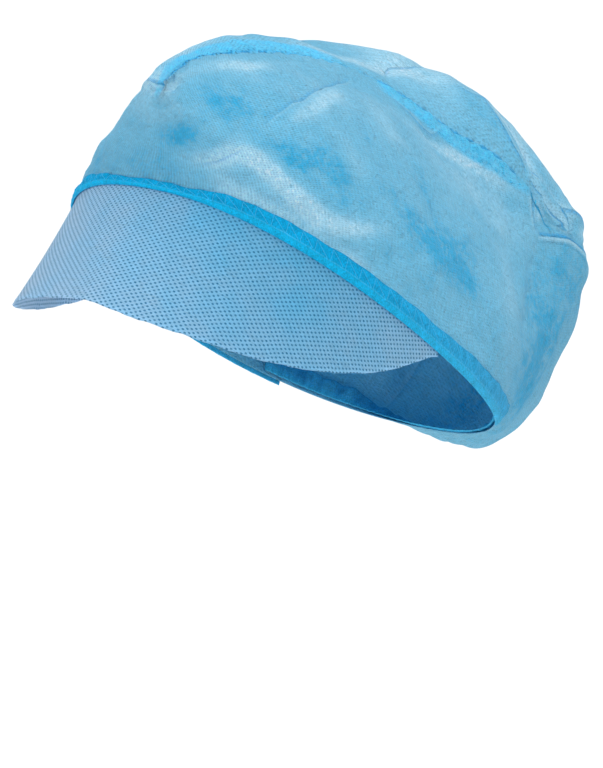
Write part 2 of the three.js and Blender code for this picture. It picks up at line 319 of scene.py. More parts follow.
class CapColours(bpy.types.PropertyGroup):
    """Colours that a user would change."""

    # pale is the cloth's paler tone and also the painted highlight: on the lit side of lips and on
    # lit ridges and facets
    pale: colour("Pale", "Crown cloth where it looks thinnest", (0.33, 0.60, 0.74))
    # painted highlight on the crumples of the palest cloth
    crumple_highlight: colour("Fleck", "Crown cloth where it is crumpled", (0.56, 0.66, 0.74))
    crown: colour("Crown", "Crown cloth with nothing behind it", (0.145, 0.46, 0.65))
    # deep is partly the cloth lying double and partly painted shade in the valleys, grooves and
    # hollows of folds
    deep: colour("Deep", "Crown cloth where it lies double", (0.03, 0.37, 0.62))
    allowance: colour("Allowance", "Cloth over the seam allowances", (0.09, 0.56, 0.85))
    # seam is also painted as the shade in the dark line beside each lip
    seam: colour("Seam", "The line of the top seam", (0.012, 0.30, 0.62))
    band: colour("Band", "Brow band", (0.0, 0.33, 0.64))
    band_fold: colour("Band's fold", "Lower part of the brow band", (0.004, 0.41, 0.74))
    peak: colour("Peak", "Peak between its bond points", (0.30, 0.455, 0.60))
    peak_deep: colour("Peak, deep", "Peak where it looks most saturated", (0.085, 0.345, 0.54))
    bond: colour("Bond", "The peak's bond points", (0.012, 0.19, 0.38))
    thread: colour("Thread", "Overlock thread", (0.06, 0.46, 0.76))
    floor: colour("Floor", "Floor of the studio", (0.9, 0.9, 0.9))


# ---- curves and surfaces, as whole arrays ----


def through(rows, column, at, closed=False):
    """A smooth curve through a column of a table, over its first, by cubic pieces that share their
    slopes. A row's slope is the mean of the slopes to its two neighbours, each weighted by the
    other's span. A closed table goes round every 360."""
    x, y = np.array([(row[0], getattr(row, column)) for row in rows], float).T
    if closed:
        x = np.concatenate([x[-2:] - 360, x, x[:3] + 360])
        y = np.concatenate([y[-2:], y, y[:3]])
    span = np.diff(x)
    secant = np.diff(y) / span
    slope = np.concatenate([secant[:1], secant])
    slope[1:-1] = (secant[:-1] * span[1:] + secant[1:] * span[:-1]) / (span[:-1] + span[1:])
    i = np.clip(np.searchsorted(x, at, side="right") - 1, 0, len(span) - 1)
    t = (at - x[i]) / span[i]
    value = (1 - t) ** 2 * (1 + 2 * t) * y[i] + t * t * (3 - 2 * t) * y[i + 1]
    return value + span[i] * t * (1 - t) * ((1 - t) * slope[i] - t * slope[i + 1])


def vectors(x, y, z):
    """Three arrays of numbers as one array of points."""
    return np.stack(np.broadcast_arrays(x, y, z), axis=-1)


def norm(vector):
    return np.linalg.norm(vector, axis=-1)


def steps_along(line):
    """The lengths of the steps from each point of a line to the next."""
    return norm(np.diff(line, axis=0))


def unit(vector):
    return vector / norm(vector)[..., None]


def signed_power(value, power):
    """A power of a number's size, with the number's own sign."""
    return np.sign(value) * np.abs(value) ** power


def smoothstep(low, high, value):
    """0 below low, 1 above high, and an S-curve between."""
    t = np.clip((value - low) / (high - low), 0, 1)
    return t * t * (3 - 2 * t)


def bell(value, width):
    """1 at 0, falling off with the square of the value over the width."""
    return np.exp(-((value / width) ** 2))


def rim_point(turn):
    """The rim: a squarish ellipse, sagging at the ears with the square of the sine, slanting down
    to the nape."""
    across, along = np.sin(np.radians(turn)), np.cos(np.radians(turn))
    x = RIM_HALF_WIDTH * signed_power(across, 2 / RIM_SQUARENESS)
    back = -RIM_HALF_LENGTH * signed_power(along, 2 / RIM_SQUARENESS)
    sag = -RIM_SAG * across ** 2
    slant_sin, slant_cos = math.sin(RIM_SLANT), math.cos(RIM_SLANT)
    return vectors(x, back * slant_cos + sag * slant_sin, sag * slant_cos - back * slant_sin)


def seam_point(share):
    return vectors(*(through(SEAM, axis, share) for axis in "xyz"))


def seam_share(turn):
    """How far back along the seam the cloth of a turn ends: half of 1 less the cosine."""
    return (1 - np.cos(np.radians(turn))) / 2


def outward(point):
    return unit(point - CORE)


def plain_point(turn, rise):
    """The cloth before its folds: cubic Bezier curves from the rim up to the seam, whose inner
    points lie along the lean from the rim and along the fall from the seam."""
    turn, rise = np.broadcast_arrays(np.asarray(turn, float) % 360, np.asarray(rise, float))
    lean, pull, fall, reach = (
        through(SECTIONS, name, turn, closed=True) for name in Section._fields[1:])
    lean, fall = np.radians(lean)[..., None], np.radians(fall)[..., None]
    angle = np.radians(turn)
    level = vectors(np.sin(angle), -np.cos(angle), 0)
    upright = unit(np.array([0, math.sin(RIM_SLANT) / 2, 1]))
    rim, seam = rim_point(turn), seam_point(seam_share(turn))
    near_rim = rim + pull[..., None] * (level * np.sin(lean) + upright * np.cos(lean))
    down = np.array([0, 0, -1.0])
    near_seam = seam + reach[..., None] * (level * np.cos(fall) + down * np.sin(fall))
    t = rise[..., None]
    s = 1 - t
    return s ** 3 * rim + 3 * s * s * t * near_rim + 3 * s * t * t * near_seam + t ** 3 * seam


def path_on_cloth(path, steps=6):
    """A smooth line on the plain cloth along a path, as the tables give it, with steps to each
    stretch."""
    path = np.reshape(path, (-1, 2)) / (1, 100)
    if len(path) > 2:
        knots = np.concatenate([2 * path[:1] - path[1:2], path, 2 * path[-1:] - path[-2:-1]])
        t = np.linspace(0, 1, steps, endpoint=False)[None, :, None]
        a, b, c, d = (knots[i:len(knots) - 3 + i, None] for i in range(4))
        line = 0.5 * (2 * b + (c - a) * t + (2 * a - 5 * b + 4 * c - d) * t ** 2
                      + (3 * b - a - 3 * c + d) * t ** 3)
        path = np.concatenate([line.reshape(-1, 2), path[-1:]])
    return plain_point(path[:, 0], path[:, 1])


def to_line(points, line):
    """For each point its distance to a line of points, the side of the line it lies on, seen from
    outside, with +1 on the left, and how far along the line it is, from 0 to 1."""
    best = np.full(points.shape[:-1], np.inf)
    side, place = np.ones_like(best), np.zeros_like(best)
    stretches = len(line) - 1
    for i in range(stretches):
        start, run = line[i], line[i + 1] - line[i]
        offset = points - start
        t = np.clip(offset @ run / (run @ run), 0, 1)
        gap = offset - t[..., None] * run
        distance = norm(gap)
        closer = distance < best
        left = np.cross(outward(start + run / 2), run)
        best = np.where(closer, distance, best)
        side = np.where(closer, np.sign(gap @ left), side)
        place = np.where(closer, (i + t) / stretches, place)
    return best, side, place


def stroke(points, path, width, steep=1.0, taper=True):
    """A bell curve across a path, width to its left and width times steep to its right. With taper
    it fades out towards the path's ends. Points far off are left at 0."""
    line = path_on_cloth(path)
    far = 3 * width * max(1, steep)
    near = ((points > line.min(axis=0) - far) & (points < line.max(axis=0) + far)).all(axis=-1)
    distance, side, place = to_line(points[near], line)
    value = bell(distance, np.where(side > 0, width, width * steep))
    if taper:
        value = value * (0.25 + 0.75 * np.sin(np.pi * np.clip(place, 0.02, 0.98)) ** 0.6)
    result = np.zeros(points.shape[:-1])
    result[near] = value
    return result


def lip_marks(points, layer):
    """For each point its distance to the layer's nearest lip, positive on the lip's lit side, and
    the lip's strength, which fades out at its ends and away from it."""
    distance, strength = np.full(points.shape[:-1], LIP_FAR), np.zeros(points.shape[:-1])
    for lip in LIPS:
        if lip.layer == layer:
            gap, side, place = to_line(points, path_on_cloth(lip.path))
            nearer = gap < np.abs(distance)
            fade = np.sqrt(np.abs(np.sin(np.pi * place))) * smoothstep(3.4, 2.4, gap)
            distance = np.where(nearer, gap * side * np.sign(lip.strength), distance)
            strength = np.where(nearer, abs(lip.strength) * fade, strength)
    return distance, strength


def folds(points):
    """How far the folds push the cloth outwards: each falls off with the square of the distance to
    its line, as a bell curve that may be steeper on one side."""
    return sum(fold.height * stroke(points, fold.path, fold.width, fold.steep, taper=False)
               for fold in FOLDS)


def crown_point(turn, rise):
    """The cloth with its folds, which fade out at the rim and at the seam."""
    points = plain_point(turn, rise)
    free = np.clip(rise / FOLDS_START, 0, 1) * np.clip((1 - np.asarray(rise)) / FOLDS_END, 0, 1)
    return points + outward(points) * (folds(points) * free)[..., None]


def waves(u, v, count, longest, shortest, seed, around=None):
    """Random undulation between about -1 and 1: a sum of sine waves in all directions, with
    lengths from longest to shortest. around is the length in u after which they repeat."""
    random = np.random.default_rng(seed)
    length = longest * (shortest / longest) ** random.random(count)
    angle = random.random(count) * 2 * np.pi
    phase = random.random(count) * 2 * np.pi
    along_u, along_v = np.cos(angle) / length, np.sin(angle) / length
    if around:
        along_u = np.round(along_u * around) / around
    turns = u[..., None] * along_u + v[..., None] * along_v
    return np.sin(2 * np.pi * turns + phase).sum(axis=-1) * (2 / count) ** 0.5


def rise_after(turn, length, fine=True, down=False):
    """The rise at each length of cloth up from the rim, or down from the seam, for each turn, read
    off a table of lengths. turn is one row, and length has one row for each row of the result."""
    rise = np.linspace(0, TABLE_REACH, TABLE_STEPS + 1)[:, None]
    rise = 1 - rise if down else rise
    line = (crown_cloth if fine else crown_point)(*np.broadcast_arrays(turn[None], rise))
    table = np.concatenate([np.zeros((1, len(turn))), np.cumsum(steps_along(line), axis=0)])
    length = np.clip(length, 0, table[-1] * 0.999)
    below = np.clip((table[:, None] <= length[None]).sum(axis=0) - 1, 0, TABLE_STEPS - 1)
    column = np.broadcast_to(np.arange(len(turn)), length.shape)
    low, high = table[below, column], table[below + 1, column]
    place = (below + (length - low) / (high - low)) * TABLE_REACH / TABLE_STEPS
    return 1 - place if down else place


def on_cloth(turn, length, out, **more):
    """Points at lengths up from the rim and out from the crown's cloth; below the rim the cloth's
    own line goes on straight."""
    rise = rise_after(turn, length, **more)
    turn = np.broadcast_to(turn, rise.shape)
    points = crown_cloth(turn, rise)
    low, high = (crown_point(turn, np.full_like(rise, value)) for value in (0, 0.02))
    line = unit(high - low)
    return points + line * np.minimum(length, 0)[..., None] + outward(points) * out[..., None]


def seam_relief(turn, below):
    """How far the cloth near the top seam stands out. It is drawn in along the stitches, lies
    higher where the seam allowances are underneath, with a wavy edge, and puckers into short waves
    that fade out downwards. below is the distance from the seam."""
    share = seam_share(turn)
    along = share * SEAM_LENGTH
    under = allowance_there(turn) * smoothstep(ALLOWANCE + 0.8, ALLOWANCE - 0.8, below)
    pucker = np.sin(2 * np.pi * along / SEAM_PUCKER + 1.7 * np.sin(along / 13) + (turn > 180) * 2)
    ridge = (turn % 360 > 180) * smoothstep(0.02, 0.1, share) * smoothstep(0.52, 0.4, share)
    return (0.7 * under + 0.5 * pucker * bell(below - 1.5, 4.5) - bell(below, 1.1)
            + 3.6 * ridge * bell(below - 11, 6.5))


def allowance_there(turn):
    """1 along the parts of the seam that have an allowance on this side, and 0 elsewhere."""
    share = seam_share(turn)
    start, end = (np.where(np.asarray(turn) % 360 > 180, front, rear)
                  for front, rear in zip(FRONT_ALLOWANCE, REAR_ALLOWANCE))
    return (smoothstep(start - 0.012, start + 0.012, share)
            * smoothstep(end + 0.06, end - 0.04, share))


def crown_cloth(turn, rise):
    """The crown as the eye sees it: the solids' shape, with fine folds along drawn paths, gathers
    at the nape and puckers at the brow that fade out upwards, a relief along the top seam, and
    random undulation of long and short waves. All but the undulation keeps off the seam's line."""
    turn, rise = np.broadcast_arrays(np.asarray(turn, float), np.asarray(rise, float))
    points, plain = crown_point(turn, rise), plain_point(turn, rise)
    u, v = turn / 360 * ROUND, rise * TALL
    below = norm(points - seam_point(seam_share(turn)))
    free = smoothstep(0, 0.05, rise) * smoothstep(1, 0.985, rise)
    out = sum(fold.height * stroke(plain, fold.path, fold.width, fold.steep)
              for fold in FINE_FOLDS)
    crumple = waves(u, v, 14, 70, 26, seed=3, around=ROUND)
    crumple = crumple - np.abs(waves(u, v, 9, 60, 24, seed=5, around=ROUND)) + 0.5
    brow = bell((turn + 190) % 360 - 180, 25)  # where the cloth is drawn smoother
    out = out + crumple * (0.4 - 0.28 * brow)
    out = out + 0.12 * waves(u, v, 16, 17, 8, seed=8, around=ROUND)
    nape = smoothstep(125, 150, turn % 360) * smoothstep(240, 212, turn % 360)
    gathers = np.sin(2 * np.pi * u / NAPE_GATHER + 2.2 * np.sin(u / 15)) + 0.5 * np.sin(u / 2.1)
    out = out + nape * gathers * np.exp(-v / 16) * smoothstep(0, 0.04, rise)
    puckers = np.sin(2 * np.pi * u / BROW_PUCKER + 2 * np.sin(u / 19))
    out = out + 0.3 * (1 - nape) * puckers * np.exp(-v / 9) * smoothstep(0, 0.05, rise)
    return points + outward(points) * (out * free + seam_relief(turn, below))[..., None]


# ---- meshes ----


def new_object(name, data):
    thing = bpy.data.objects.new(name, data)
    bpy.context.scene.collection.objects.link(thing)
    return thing


def grid_faces(rows, columns, ring=False):
    """Corner numbers of the four-sided faces between rows * columns points, and of their places in
    a flat map, which has one column more where the grid is a ring."""
    r, c = np.meshgrid(np.arange(rows - 1), np.arange(columns if ring else columns - 1),
                       indexing="ij")
    right = (c + 1) % columns if ring else c + 1
    return (np.stack([((r + up) * columns + side).ravel()
                      for up, side in ((0, c), (0, right), (1, right), (1, c))], axis=1),
            np.stack([((r + up) * (columns + ring) + side).ravel()
                      for up, side in ((0, c), (0, c + 1), (1, c + 1), (1, c))], axis=1))


def surface(name, points, ring=False, twins=None, flat=None, marks=None, capped=False):
    """A smooth mesh over a grid of points in millimetres, rows by columns, or over several such
    grids. twins replaces some point numbers by others, where two edges are sewn together. flat
    gives each point's place on the flat cloth, for the UV map, and marks are further numbers that
    materials read by name. capped closes both ends of a tube."""
    grids = points[None] if points.ndim == 3 else points
    count, rows, columns = grids.shape[:3]
    faces, places = grid_faces(rows, columns, ring)
    offset = np.arange(count)[:, None, None]
    faces = (faces + offset * rows * columns).reshape(-1, 4)
    places = (places + offset * rows * (columns + ring)).reshape(-1, 4)
    if twins is not None:
        faces = twins[faces]
    loops, sides = [faces.ravel()], [np.full(len(faces), 4)]
    if capped:
        ends = np.arange(columns)
        ends = np.stack([ends[::-1], ends + (rows - 1) * columns])[None] + offset * rows * columns
        loops.append(ends.ravel())
        sides.append(np.full(2 * count, columns))
    loops, sides = np.concatenate(loops), np.concatenate(sides)
    used, index = np.unique(loops, return_inverse=True)
    mesh = bpy.data.meshes.new(name)
    mesh.vertices.add(len(used))
    mesh.vertices.foreach_set("co", (grids.reshape(-1, 3)[used] * MM).ravel())
    mesh.loops.add(len(loops))
    mesh.loops.foreach_set("vertex_index", index.ravel())
    mesh.polygons.add(len(sides))
    mesh.polygons.foreach_set("loop_start", np.cumsum(sides) - sides)
    mesh.polygons.foreach_set("use_smooth", sides == 4)
    if flat is not None:
        layer = mesh.uv_layers.new(name="flat")
        flat = np.concatenate([flat.reshape(-1, 2)[places.ravel()],
                               np.zeros((len(loops) - faces.size, 2))])
        layer.data.foreach_set("uv", (flat * MM).ravel())
    for label, values in (marks or {}).items():
        mark = mesh.attributes.new(label, "FLOAT", "POINT")
        mark.data.foreach_set("value", np.ravel(values)[used].astype(np.float32))
    mesh.update(calc_edges=True)
    mesh.validate()
    return new_object(name, mesh)


def thicken(piece, thickness):
    """Gives a sheet its thickness, half to each side."""
    wall = piece.modifiers.new("thickness", "SOLIDIFY")
    wall.thickness = thickness
    wall.offset = 0.0


def dress(piece, finish, solid=None):
    """Gives a piece its material and its body, and hides the solid that it stands for."""
    piece.data.materials.append(finish)
    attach(piece, ROOT)
    if solid:
        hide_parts(solid)


def tube(line, radius, facing, sides=6):
    """Rings of points round a line, at a radius given for each of its points. facing is roughly
    square to the line and sets where each ring begins."""
    along = unit(np.gradient(line, axis=-2))
    out = unit(facing - (facing * along).sum(axis=-1, keepdims=True) * along)
    across = np.cross(along, out)
    angle = np.linspace(0, 2 * np.pi, sides, endpoint=False)
    ring = (out[..., None, :] * np.cos(angle)[:, None]
            + across[..., None, :] * np.sin(angle)[:, None])
    return line[..., None, :] + ring * np.asarray(radius)[..., None, None]


# ---- materials ----


def operation(name, swapped=False):
    """A method that adds a Math node."""
    def method(number, *others):
        values = (*others, number) if swapped else (number, *others)
        return number.finish.node("ShaderNodeMath", {"operation": name}, dict(enumerate(values)))
    return method


class Number:
    """A number in a material's nodes. Arithmetic on it adds Math nodes."""

    def __init__(self, finish, socket):
        self.finish, self.socket = finish, socket

    __add__ = __radd__ = operation("ADD")
    __sub__, __rsub__ = operation("SUBTRACT"), operation("SUBTRACT", swapped=True)
    __mul__ = __rmul__ = operation("MULTIPLY")
    __abs__, cos = operation("ABSOLUTE"), operation("COSINE")

    def limited(self):
        return self.finish.node("ShaderNodeClamp", {}, {"Value": self})


class Finish:
    """The nodes of a material with its base colour, or of the sky."""

    def __init__(self, owner, base=()):
        self.owner, self.base = owner, tuple(base)
        owner.use_nodes = True
        self.tree = owner.node_tree
        self.tree.nodes.clear()

    def node(self, kind, settings=None, sockets=None, out=0):
        """Adds a node of a kind, with its settings, then the values or links of its sockets, and
        gives its output."""
        node = self.tree.nodes.new(kind)
        for name, value in (settings or {}).items():
            setattr(node, name, value)
        for name, value in (sockets or {}).items():
            if isinstance(value, Number):
                self.tree.links.new(value.socket, node.inputs[name])
            else:
                node.inputs[name].default_value = value
        return Number(self, node.outputs[out]) if len(node.outputs) else node

    def mark(self, name):
        """A number that the mesh carries."""
        return self.node("ShaderNodeAttribute", {"attribute_name": name}, out=2)

    def stretched(self, place, scale, turn=0.0):
        """A place scaled and then turned by degrees."""
        return self.node("ShaderNodeMapping", {}, {
            "Vector": place, "Rotation": (0, 0, math.radians(turn)), "Scale": scale})

    def flat(self, turn=0.0, scale=(1000, 1000, 1)):
        """The place on the flat cloth, in millimetres unless it is scaled further."""
        return self.stretched(self.node("ShaderNodeUVMap", {"uv_map": "flat"}), scale, turn)

    def solid(self, scale=(1000, 1000, 1000)):
        """The place in space, in millimetres unless it is scaled further."""
        return self.stretched(self.node("ShaderNodeTexCoord", out=3), scale)

    def parts(self, vector):
        """The first two parts of a vector."""
        both = self.node("ShaderNodeSeparateXYZ", {}, {"Vector": vector})
        return both, Number(self, both.socket.node.outputs[1])

    def noise(self, place, scale, detail=2.0, roughness=0.5, distortion=0.0):
        """Random clouds between -0.5 and 0.5."""
        return self.node("ShaderNodeTexNoise", {}, {
            "Vector": place, "Scale": scale, "Detail": detail, "Roughness": roughness,
            "Distortion": distortion}) - 0.5

    def between(self, value, low, high, start=0.0, end=1.0):
        """start below low, end above high, and an S-curve between."""
        return self.node("ShaderNodeMapRange", {"interpolation_type": "SMOOTHSTEP"}, {
            "Value": value, "From Min": low, "From Max": high, "To Min": start, "To Max": end})

    def paint(self, factor, colour):
        """Lays a colour over the base, as much as the factor says."""
        base = self.base if isinstance(self.base, Number) else self.base + (1,)
        self.base = self.node("ShaderNodeMix", {"data_type": "RGBA", "blend_type": "MIX"},
                              {0: factor, 6: base, 7: tuple(colour) + (1,)}, out=2)

    def shade(self, value):
        """Multiplies the base by a number."""
        self.base = self.node("ShaderNodeVectorMath", {"operation": "SCALE"},
                              {0: self.base, "Scale": value})

    def bump(self, height, distance, strength=1.0, normal=None):
        """Relief of a height from 0 to 1 times distance, in metres."""
        sockets = {"Height": height, "Distance": distance, "Strength": strength}
        return self.node("ShaderNodeBump", {}, sockets | ({"Normal": normal} if normal else {}))

    def end(self, roughness, normal, through=0.0, sheen=0.0, specular=0.3):
        """The surface: a matt cloth, of which through is a share that lets light pass."""
        cloth = self.node("ShaderNodeBsdfPrincipled", {}, {
            "Base Color": self.base, "Roughness": roughness, "Normal": normal,
            "Sheen Weight": sheen, "Specular IOR Level": specular})
        if through:
            glow = self.node("ShaderNodeBsdfTranslucent", {},
                             {"Color": self.base, "Normal": normal})
            cloth = self.node("ShaderNodeMixShader", {}, {0: through, 1: cloth, 2: glow})
        self.node("ShaderNodeOutputMaterial", {}, {"Surface": cloth})
        return self.owner


def fibres(finish, place, ways=((20, 0.5), (80, 0.55), (140, 0.45))):
    """Fine random fibres, as ridges of stretched noise in three directions. ways gives each
    direction in degrees and how close its fibres lie."""
    total = None
    for turn, scale in ways:
        line = finish.stretched(place, (0.12, 1.3, 1), turn)
        ridge = 1 - abs(finish.noise(line, scale * 2, 1.0)) * 4
        total = ridge if total is None else total + ridge
    return total * (1 / 3)


def bond_points(finish, across, up, lean, low, high):
    """1 at the bond points of a nonwoven and 0 between them: a staggered lattice, as the product
    of two cosines. across and up are its spacing, and lean turns it, in degrees."""
    place = finish.flat(turn=lean, scale=(1000 / across, 1000 / up, 1))
    x, y = finish.parts(place)
    lattice = (x * (2 * math.pi)).cos() * (y * (2 * math.pi)).cos()
    return finish.between(lattice, low, high)


def material(name, base):
    return Finish(bpy.data.materials.new(name), base)


def crown_finish(colours):
    finish = material("crown nonwoven", colours.crown)
    flat, place = finish.flat(), finish.solid()
    clouds = finish.noise(place, 0.05, 3.0, 0.55, 0.6)
    mottle = finish.noise(place, 0.16, 3.0, 0.6, 0.4)
    crumbs = finish.noise(place, 0.75, 2.0, 0.6)
    grain = finish.noise(place, 1.4, 2.0, 0.7)
    creases = abs(finish.noise(place, 0.1, 2.0, 0.55, 0.5))
    tone = finish.mark("tone") * (1 + crumbs * 1.6 + mottle * 2.4)
    tone = tone + clouds * 0.9 + mottle * 0.8 + crumbs * 0.4 + grain * 0.5
    # paler below a tone of 0: partly the cloth's own paler tone, partly painted highlight on ridges
    # and lit facets
    finish.paint(finish.between(tone, 0.05, -1.15), colours.pale)
    # painted highlights on the crumples, where the cloth is palest
    crumple_highlights = finish.between(tone, -0.7, -1.5) * finish.between(crumbs + grain * 0.5, 0.0, 0.16)
    finish.paint(crumple_highlights * 0.55, colours.crumple_highlight)
    # deeper above a tone of 0: partly double cloth, partly painted shade in valleys, grooves and
    # hollows
    finish.paint(finish.between(tone, -0.05, 1.1), colours.deep)
    # along the top seam: its line, the allowance seen through the cloth, and short puckers
    below = finish.mark("below")
    seamwise = finish.node("ShaderNodeCombineXYZ", {}, {0: finish.mark("along"), 1: below * 0.22})
    puckers = finish.noise(seamwise, 0.42, 2.0, 0.6) * finish.between(below, 7.5, 1.0)
    edge = finish.between(below * 0.84 + puckers * 4 + mottle * 3, ALLOWANCE + 1.2, ALLOWANCE - 1.2)
    allowance = finish.mark("allowance") * edge * (0.8 + mottle * 1.2 + crumbs * 0.8)
    finish.paint(allowance.limited(), colours.allowance)
    line = finish.between(below + puckers + crumbs * 0.7, 1.2, 0.35)
    finish.paint(line * 0.75, colours.seam)
    # the lips: a painted highlight on the lit edge, a dark line of painted shade beside it, and a
    # step in the relief
    lit = dark = step = 0
    for layer in range(LIP_LAYERS):
        side = finish.mark(f"lip_side_{layer}") + crumbs * 0.5
        strength = finish.mark(f"lip_strength_{layer}")
        lit = strength * finish.between(side, 0.0, 0.5) * finish.between(side, 2.4, 0.7) + lit
        dark = strength * finish.between(side, 0.3, -0.1) * finish.between(side, -1.9, -0.5) + dark
        step = strength * finish.between(side, -0.5, 0.4) * finish.between(side, 3.2, 0.8) + step
    finish.paint(lit * 0.5, colours.pale)
    # the painted shade beside each lip takes the seam's colour
    finish.paint(dark * (0.45 + crumbs), colours.seam)
    round_head, _ = finish.parts(flat)
    frontal = finish.between(abs(round_head - ROUND / 2), ROUND * 0.3, ROUND * 0.42, 0.45, 1.4)
    bonds = bond_points(finish, 3.0, 1.25, 1, 0.1, 0.8) * frontal
    hairs = fibres(finish, flat)
    finish.shade(1 + frontal * 0.2 - bonds * 0.36 + hairs * 0.3 + crumbs * 0.4 + grain * 0.7
                 + puckers * 0.4)
    normal = finish.bump(step + puckers * 1.3, 0.0006, 0.8)
    normal = finish.bump(crumbs * 0.8 + mottle * 1.5 + creases * 3, 0.0012, 0.7, normal)
    normal = finish.bump(hairs * 0.6 + grain * 2 - bonds, 0.0002, 1.0, normal)
    return finish.end(0.78, normal, through=0.22, sheen=0.1)


def band_finish(colours):
    finish = material("band nonwoven", colours.band)
    flat, place = finish.flat(), finish.solid()
    up = finish.mark("up")
    mottle = finish.noise(place, 0.3, 3.0, 0.65)
    stipple = finish.noise(place, 1.6, 2.0, 0.6)
    finish.paint(finish.between(up + mottle * 0.5 + stipple * 0.4, 0.5, 0.25), colours.band_fold)
    seam_line = finish.between(abs(up - 0.4 + mottle * 0.1), 0.05, 0.0)
    finish.paint(seam_line * 0.5, colours.thread)
    round_head, _ = finish.parts(flat)
    ends = finish.between(abs(round_head), 90.0, BAND_END * BAND_PITCH, 0.0, 0.13)
    finish.paint(ends, colours.pale)
    finish.shade(1 + mottle * 0.8 + stipple * 1.2)
    bonds = bond_points(finish, 1.5, 1.5, 12, 0.2, 0.7)
    finish.shade(1 - bonds * 0.12)
    normal = finish.bump(stipple + mottle, 0.0003, 0.8)
    normal = finish.bump(fibres(finish, flat) - bonds, 0.00008, 0.6, normal)
    return finish.end(0.8, normal, specular=0.12)


def peak_finish(colours):
    finish = material("peak nonwoven", colours.peak)
    flat, place = finish.flat(), finish.solid()
    mottle = finish.noise(place, 0.07, 3.0, 0.55, 0.3)
    crumbs = finish.noise(flat, 0.5, 2.0, 0.6)
    hairs = fibres(finish, flat, ((-38, 0.8), (-30, 0.55), (60, 0.5)))
    bonds = bond_points(finish, PEAK_PITCH[0], PEAK_PITCH[1], PEAK_LEAN, 0.12, 0.72)
    tone = finish.mark("tone")
    finish.paint((tone + mottle * 0.7).limited(), colours.peak_deep)
    grain = finish.noise(flat, 1.1, 2.0, 0.7)
    finish.shade(1.05 + finish.mark("fringe") * 0.22 + mottle * 0.25 + crumbs * 0.25
                 + hairs * 0.45 + grain * 0.35)
    finish.paint((bonds * (0.85 + crumbs * 0.8)).limited(), colours.bond)
    normal = finish.bump(1 - bonds, 0.00018, 0.9)
    normal = finish.bump(hairs, 0.00006, 0.6, normal)
    return finish.end(0.62, normal, through=0.25, sheen=0.1)


def thread_finish(colours):
    finish = material("overlock thread", colours.thread)
    twist = finish.noise(finish.solid(), 6.0, 1.0)
    finish.shade(1 + twist * 0.5)
    return finish.end(0.6, finish.bump(twist, 0.00005, 0.6))


def floor_finish(colours):
    finish = material("studio floor", colours.floor)
    grain = finish.noise(finish.solid((10, 10, 10)), 1.5, 2.0)
    finish.shade(1 + grain * 0.01)
    return finish.end(0.95, finish.bump(grain, 0.0001, 0.1), specular=0.1)


# ---- the crown ----

CROWN_COLUMNS = 384
CROWN_ROWS = 118
CROWN_CROWDING = 0.55  # how much closer the rows lie near the rim and the seam
CROWN_BUNCHING = 0.35  # how much closer the columns lie at the brow and the nape


def crown_grid():
    """Turns and rises of the crown's grid: rows closer together at the rim and the seam, columns
    closer together at the brow and the nape, both by a sine."""
    part = np.linspace(0, 1, CROWN_ROWS + 1)
    rise = part - CROWN_CROWDING * np.sin(2 * np.pi * part) / (2 * np.pi)
    part = np.arange(CROWN_COLUMNS) / CROWN_COLUMNS
    turn = 360 * (part - CROWN_BUNCHING * np.sin(4 * np.pi * part) / (4 * np.pi))
    return np.meshgrid(turn, rise)


class SewCrown(bpy.types.Operator):
    """Sew the crown from one tube of nonwoven, closed by the top seam"""

    bl_idname = "peaked_cap.sew_crown"
    bl_label = "Sew the crown"

    def execute(self, context):
        turn, rise = crown_grid()
        points = crown_cloth(turn, rise)
        rows, columns = turn.shape
        twins = np.arange(rows * columns)
        top = (rows - 1) * columns
        far = np.arange(columns // 2 + 1, columns)
        twins[top + far] = top + columns - far
        points[-1, far] = points[-1, columns - far]
        share = seam_share(turn)
        flat_turn = np.concatenate([turn, turn[:, :1] + 360], axis=1)
        flat_rise = np.concatenate([rise, rise[:, :1]], axis=1)
        flat = np.stack([flat_turn / 360 * ROUND, flat_rise * TALL], axis=-1)
        plain = plain_point(turn, rise)
        marks = {
            "tone": sum(tint.tone * stroke(plain, tint.path, tint.width) for tint in TINTS),
            "below": norm(points - seam_point(share)), "along": share * SEAM_LENGTH,
            "allowance": allowance_there(turn)}
        for layer in range(LIP_LAYERS):
            marks[f"lip_side_{layer}"], marks[f"lip_strength_{layer}"] = lip_marks(plain, layer)
        crown = surface("crown_cloth", points, ring=True, twins=twins, flat=flat, marks=marks)
        thicken(crown, context.scene.cap_sizes.cloth)
        dress(crown, crown_finish(context.scene.cap_colours), "crown")
        return {"FINISHED"}


# ---- the seam allowances ----


class LaySeam(bpy.types.Operator):
    """Lay the two seam allowances to their sides inside the crown"""

    bl_idname = "peaked_cap.lay_seam"
    bl_label = "Lay the seam"

    def execute(self, context):
        finish = crown_finish(context.scene.cap_colours)
        for name, solid, turns in (("front_allowance", "front_seam_flange", FRONT_STRIP),
                                   ("rear_allowance", "rear_seam_flange", REAR_STRIP)):
            turn = np.linspace(*turns, 140)
            edge = ALLOWANCE + 0.5 * np.sin(turn * 1.1) + 0.3 * np.sin(turn * 2.9)
            part = np.linspace(0, 1, 12)[:, None]
            length = np.linspace(ALLOWANCE_START, 1, 12)[:, None] * edge
            out = -STRIP_INSIDE - 0.25 * np.sin(turn * 2.3) * part
            points = on_cloth(turn, length, out, down=True)[::-1]
            flat = np.stack([np.broadcast_to(turn * RIM_PITCH, length.shape), length], axis=-1)
            strip = surface(name, points, flat=flat, marks={
                "tone": np.ones_like(length), "below": np.full_like(length, ALLOWANCE / 2),
                "allowance": np.ones_like(length)})
            thicken(strip, 2 * context.scene.cap_sizes.cloth)
            dress(strip, finish, solid)
            long = steps_along(points[0]).sum() * MM
        return {"FINISHED"}


# ---- the brow band ----

